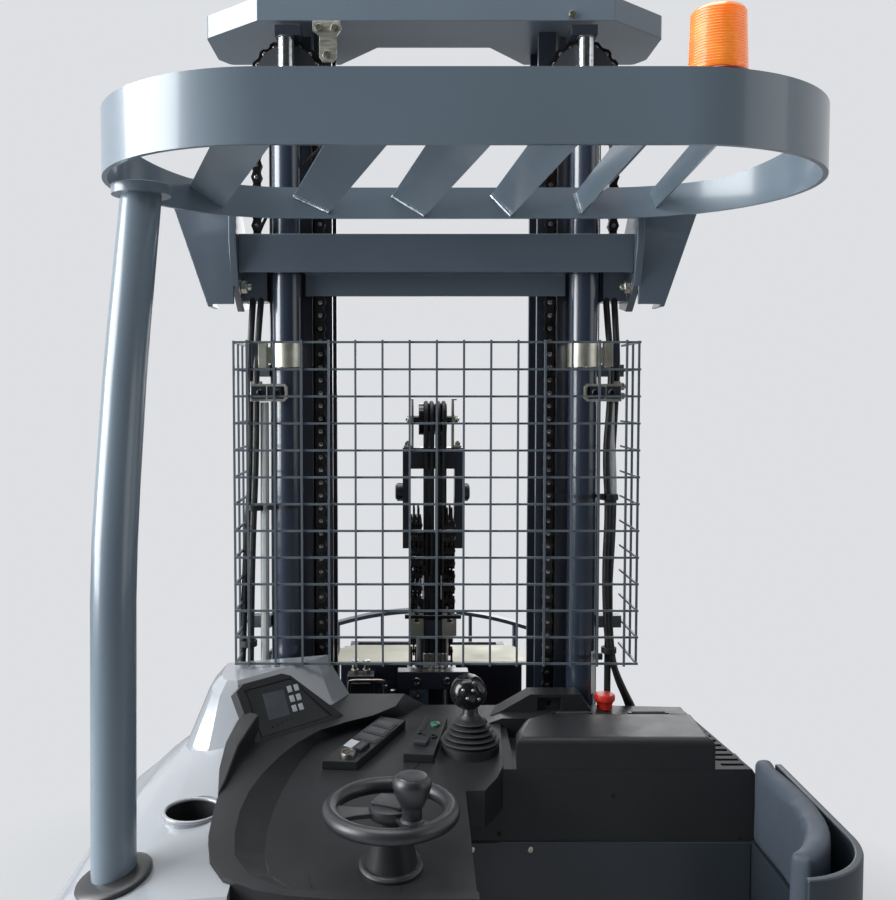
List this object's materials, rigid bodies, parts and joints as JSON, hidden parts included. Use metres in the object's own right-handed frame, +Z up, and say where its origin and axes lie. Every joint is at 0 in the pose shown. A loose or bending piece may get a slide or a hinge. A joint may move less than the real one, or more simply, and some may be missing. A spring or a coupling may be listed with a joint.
{
  "type": "stand-up pantograph reach truck",
  "caption": "Stand-up reach truck with straddle legs, a three-stage lift mast, scissor reach forks, an overhead guard and a side-stance cockpit.",
  "frame": {"origin": "on the floor, midway along the length and the width", "axes": "+X to the operator's right as they face the forks, +Y towards the forks, +Z up"},
  "size_m": [1.18, 2.5748, 2.587],
  "materials": {
    "slate_paint": "semi-gloss slate paint",
    "mast_paint": "dark semi-gloss paint with a film of grease",
    "red_paint": "gloss red-orange paint",
    "black_plastic": "fine-grained moulded plastic",
    "light_cover": "gloss light grey moulded cover",
    "bolster_foam": "textured foam skin",
    "amber_lens": "ribbed amber lens",
    "red_button": "gloss red moulding",
    "zinc_steel": "zinc plated",
    "rod_chrome": "hard chrome, oiled",
    "chain_steel": "oiled leaf chain",
    "wheel_tread": "cast polyurethane",
    "cast_dark": "painted casting",
    "battery_case": "painted steel case",
    "mesh_wire": "coated wire",
    "fork_paint": "black paint, worn on the blades"
  },
  "bodies": {
    "chassis": {"chassis_frame": "red_paint", "mast_foot": "red_paint", "battery": "battery_case", "outrigger_right": "red_paint", "outrigger_left": "red_paint", "platform_floor": "black_plastic", "knee_panel": "slate_paint", "console_deck": "black_plastic", "left_cover": "light_cover", "display_pod": "black_plastic", "switch_panels": "black_plastic", "joystick": "black_plastic", "steering_column": "black_plastic", "side_bolster": "bolster_foam", "right_cover": "light_cover", "emergency_button": "red_button", "overhead_guard": "slate_paint", "guard_pillar": "slate_paint", "guard_brackets": "slate_paint", "tie_beam": "slate_paint", "beacon": "amber_lens", "outer_mast": "slate_paint", "lift_cylinders": "slate_paint", "mesh_panel": "mesh_wire", "mesh_wing_right": "mesh_wire", "mesh_wing_left": "mesh_wire"},
    "lid": {"storage_lid": "black_plastic"},
    "steering": {"steering_wheel": "black_plastic"},
    "middle_stage": {"middle_mast": "mast_paint", "chain_sheaves": "cast_dark", "lift_rods": "rod_chrome", "outer_chains": "chain_steel", "inner_chains": "chain_steel"},
    "inner_stage": {"inner_mast": "mast_paint", "mast_head": "slate_paint", "free_lift_cylinder": "mast_paint", "manifold_block": "cast_dark"},
    "lift_crosshead": {"crosshead": "mast_paint", "hose_pulleys": "cast_dark", "free_lift_rod": "rod_chrome", "free_chains_rear": "chain_steel", "free_chains_front": "chain_steel"},
    "mast_carriage": {"reach_carriage": "mast_paint"},
    "outer_scissor": {"outer_arms": "mast_paint"},
    "inner_scissor": {"inner_arms": "mast_paint"},
    "front_carriage": {"fork_carriage": "mast_paint"},
    "forks": {"fork_frame": "mast_paint", "load_backrest": "mast_paint", "fork_right": "fork_paint", "fork_left": "fork_paint"},
    "drive": {"drive_unit": "cast_dark"},
    "drive_roller": {"drive_wheel": "wheel_tread"},
    "caster": {"caster_fork": "cast_dark"},
    "caster_roller": {"caster_wheel": "wheel_tread"},
    "load_roller_right": {"load_wheel_right": "wheel_tread"},
    "load_roller_left": {"load_wheel_left": "wheel_tread"}
  },
  "joints": [
    {"name": "lid_hinge", "type": "hinge", "parent": "chassis", "child": "lid", "pos_m": [0, -0.73743, 1.223], "axis": [-1, 0, 0], "range_deg": [0, 75]},
    {"name": "steering_turn", "type": "hinge", "parent": "chassis", "child": "steering", "pos_m": [-0.08, -1.16143, 1.229], "axis": [0, 0, 1], "continuous": true},
    {"name": "main_lift", "type": "slide", "parent": "chassis", "child": "middle_stage", "axis": [0, 0, 1], "range_m": [0, 1.75], "deforming": ["outer_chains"]},
    {"name": "inner_slide", "type": "slide", "parent": "middle_stage", "child": "inner_stage", "axis": [0, 0, 1], "range_m": [0, 1.75], "deforming": ["inner_chains"]},
    {"name": "free_lift", "type": "slide", "parent": "inner_stage", "child": "lift_crosshead", "axis": [0, 0, 1], "range_m": [0, 0.65], "deforming": ["free_chains_rear"]},
    {"name": "carriage_slide", "type": "slide", "parent": "lift_crosshead", "child": "mast_carriage", "axis": [0, 0, 1], "range_m": [0, 0.65], "deforming": ["free_chains_front"]},
    {"name": "reach", "type": "hinge", "parent": "mast_carriage", "child": "outer_scissor", "pos_m": [0, -0.24243, 1.12], "axis": [1, 0, 0], "range_deg": [0, 48]},
    {"name": "scissor_pivot", "type": "hinge", "parent": "outer_scissor", "child": "inner_scissor", "pos_m": [0, -0.1115, 0.6634], "axis": [1, 0, 0], "range_deg": [-96, 0]},
    {"name": "front_carriage_pivot", "type": "hinge", "parent": "inner_scissor", "child": "front_carriage", "pos_m": [0, 0.01943, 1.12], "axis": [1, 0, 0], "range_deg": [0, 48]},
    {"name": "fork_tilt", "type": "hinge", "parent": "front_carriage", "child": "forks", "pos_m": [0, 0.11243, 0.56], "axis": [1, 0, 0], "range_deg": [-2, 4]},
    {"name": "drive_steer", "type": "hinge", "parent": "chassis", "child": "drive", "pos_m": [-0.29, -1.08743, 0.33], "axis": [0, 0, 1], "range_deg": [-90, 90]},
    {"name": "drive_spin", "type": "hinge", "parent": "drive", "child": "drive_roller", "pos_m": [-0.29, -1.08743, 0.127], "axis": [1, 0, 0], "continuous": true},
    {"name": "caster_swivel", "type": "hinge", "parent": "chassis", "child": "caster", "pos_m": [0.38, -1.01943, 0.196], "axis": [0, 0, 1], "continuous": true},
    {"name": "caster_spin", "type": "hinge", "parent": "caster", "child": "caster_roller", "pos_m": [0.38, -1.05943, 0.075], "axis": [1, 0, 0], "continuous": true},
    {"name": "load_spin_right", "type": "hinge", "parent": "chassis", "child": "load_roller_right", "pos_m": [0.53, 0.51257, 0.105], "axis": [1, 0, 0], "continuous": true},
    {"name": "load_spin_left", "type": "hinge", "parent": "chassis", "child": "load_roller_left", "pos_m": [-0.53, 0.51257, 0.105], "axis": [1, 0, 0], "continuous": true}
  ],
  "couplings": [
    {"joint": "inner_slide", "follows": "main_lift", "ratio": 1},
    {"joint": "carriage_slide", "follows": "free_lift", "ratio": 1},
    {"joint": "scissor_pivot", "follows": "reach", "ratio": -2},
    {"joint": "front_carriage_pivot", "follows": "reach", "ratio": 1}
  ]
}
